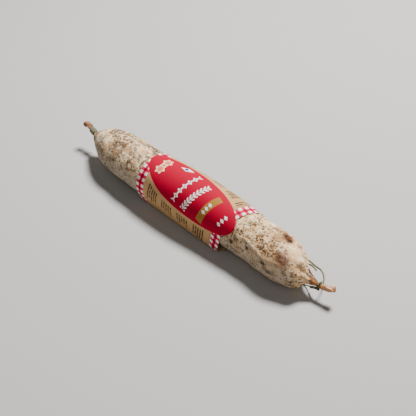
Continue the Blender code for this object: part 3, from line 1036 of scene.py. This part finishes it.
def lay_twine(name, grower, lines, fray=0.0):
    """Twine along lines, each a list of points, as one piece."""
    mesh = bpy.data.meshes.new("lines")
    points = [tuple(point) for line in lines for point in line]
    starts = np.cumsum([0] + [len(line) for line in lines])
    edges = [(i, i + 1) for start, end in zip(starts, starts[1:]) for i in range(start, end - 1)]
    mesh.from_pydata(points, edges, [])
    return grower.grow(name, show("lines", mesh), Plies=PLIES, Twine=TWINE, Lay=LAY, Fray=fray)


def winding(at_x, turns, start, pitch=TWINE):
    """Points of a winding round the neck at x, from that angle on, with both ends tucked in."""
    x, y, z, radius = middle(at_x)
    axis = (Vector(middle(at_x + 0.0005)[:3]) - Vector(middle(at_x - 0.0005)[:3])).normalized()
    side = Vector((0, 0, 1)).cross(axis).normalized()
    up = axis.cross(side)
    points = []
    for i in range(turns * TURN_POINTS + 1):
        share = i / TURN_POINTS
        angle = start + 2 * math.pi * share
        reach = radius + GAP + TWINE / 2 - TUCK * clamp(1 - 4 * min(share, turns - share))
        place = Vector((x, y, z)) + axis * pitch * (share - turns / 2)
        points.append(place + (side * math.cos(angle) + up * math.sin(angle)) * reach)
    return points


def knotted(centre, size, run):
    """Points of a small overhand knot, as a closed trefoil, squashed to the size and turned along the run."""
    turn = Vector(run).to_track_quat("X", "Z")
    points = []
    for i in range(KNOT_POINTS + 1):
        t = 2 * math.pi * i / KNOT_POINTS
        loop = Vector((math.sin(t) + 2 * math.sin(2 * t), math.cos(t) - 2 * math.cos(2 * t), -math.sin(3 * t)))
        shrunk = Vector((loop.x / 3 * size[0], loop.y / 3 * size[1], loop.z * size[2]))
        points.append(Vector(centre) + turn @ shrunk)
    return points


def make_ties(dry, damp_shaded):
    """Both ties: turns and a loop across them at the far tail, and turns, a knot and its tag at the drooping one.

    The first few millimetres of both strands, by the knot, are the near tie's.
    """
    far = [winding(FAR_TIE_AT, FAR_TIE_TURNS, 0.6)]
    ends = far[0][2], far[0][-3]
    # The loop that crosses under the far turns
    x, y, z, radius = middle(FAR_TIE_AT)
    below = Vector((0, 0.55, -0.84)) * (radius + GAP + TWINE * 1.35)
    across = [ends[0], Vector((x - 0.0012, y, z)) + below, Vector((x + 0.0012, y, z)) + below, ends[1]]
    far.append(smooth([tuple(point) for point in across], SPAN_PIECES))
    far_tie = lay_twine("far_tie_twine", dry, far)
    near = [winding(NEAR_TIE_AT, NEAR_TIE_TURNS, 2.2, TWINE * 0.65)]
    # The long strand's start, carried back to the turns
    out = Vector(LONG_STRAND[0]) - Vector(LONG_STRAND[1])
    near.append([Vector(LONG_STRAND[0]) + out * share for share in (0.0, 0.35, 0.7)])
    near.append(smooth(TAG, 8))
    near.append([KNOT_AT.lerp(Vector(SHORT_STRAND[0]), share) for share in np.linspace(0, 1, 4)])
    core = [half - TWINE / 2.4 for half in KNOT_SIZE]
    near.append(knotted(KNOT_AT, core, TAG_END - KNOT_AT))
    near_tie = lay_twine("near_tie_twine", damp_shaded, near, fray=0.3)
    return far_tie, near_tie


def make_strand(name, grower, route):
    """A free strand of twine and the points down its middle."""
    line = evenly(smooth(route, SPAN_PIECES), ROUTE_STEP)
    return lay_twine(name, grower, [line], fray=0.5), line


def make_camera():
    camera = bpy.data.objects.new("camera", bpy.data.cameras.new("camera"))
    bpy.context.scene.collection.objects.link(camera)
    camera.location = EYE
    camera.rotation_euler = (LOOK_AT - EYE).to_track_quat("-Z", "Y").to_euler()
    camera.data.lens = LENS
    camera.data.clip_start = 0.01
    bpy.context.scene.camera = camera


def make_lamp(name, way, distance, size, power):
    """A soft area lamp that shines on the sausage from that way."""
    way = Vector(way)
    lamp = bpy.data.objects.new(name, bpy.data.lights.new(name, "AREA"))
    bpy.context.scene.collection.objects.link(lamp)
    lamp.data.shape = "DISK"
    lamp.data.size = size
    lamp.data.energy = power
    lamp.location = LOOK_AT + way.normalized() * distance
    lamp.rotation_euler = (-way).to_track_quat("-Z", "Y").to_euler()


def make_studio():
    """A pale floor, a soft key from behind, a weaker fill from the front and an even sky."""
    floor = Finish("floor")
    speckle = floor.noise(floor.place(), 0.004, 3.0)
    mesh = bpy.data.meshes.new("floor")
    half = FLOOR_SIZE / 2
    mesh.from_pydata([(-half, -half, 0), (half, -half, 0), (half, half, 0), (-half, half, 0)], [], [(0, 1, 2, 3)])
    mesh.materials.append(floor.done(FLOOR_TONE, 0.9, speckle, 0.0001))
    show("floor", mesh)
    for lamp in LAMPS:
        make_lamp(*lamp)
    world = bpy.data.worlds.new("studio")
    world.use_nodes = True
    sky = world.node_tree.nodes["Background"]
    sky.inputs["Color"].default_value = (1, 1, 1, 1)
    sky.inputs["Strength"].default_value = SKY_STRENGTH
    bpy.context.scene.world = world


make_camera()
dry_twine = twine_grower(twine_finish("dry_twine", TWINE_LIGHT, TWINE_DARK))
loose_twine = twine_grower(twine_finish("loose_twine", LOOSE_LIGHT, LOOSE_DARK))
damp_twine = twine_grower(twine_finish("damp_twine", DAMP_SHADED_LIGHT, DAMP_SHADED_DARK))
for node, grower, route in (("long_strand", loose_twine, LONG_STRAND), ("short_strand", damp_twine, SHORT_STRAND)):
    strand, line = make_strand(node + "_twine", grower, route)
    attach(strand, "root")
    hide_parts(node)

casing = make_skin(casing_finish())
band = make_band(band_finish(), paper_back_finish())
far_tie, near_tie = make_ties(dry_twine, damp_twine)
for piece, node, slot in ((casing, "sausage", "casing"), (band, "label", "paper"), (far_tie, "far_tie", "twine"),
                          (near_tie, "near_tie", "twine")):
    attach(piece, "root")
    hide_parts(node)
make_studio()
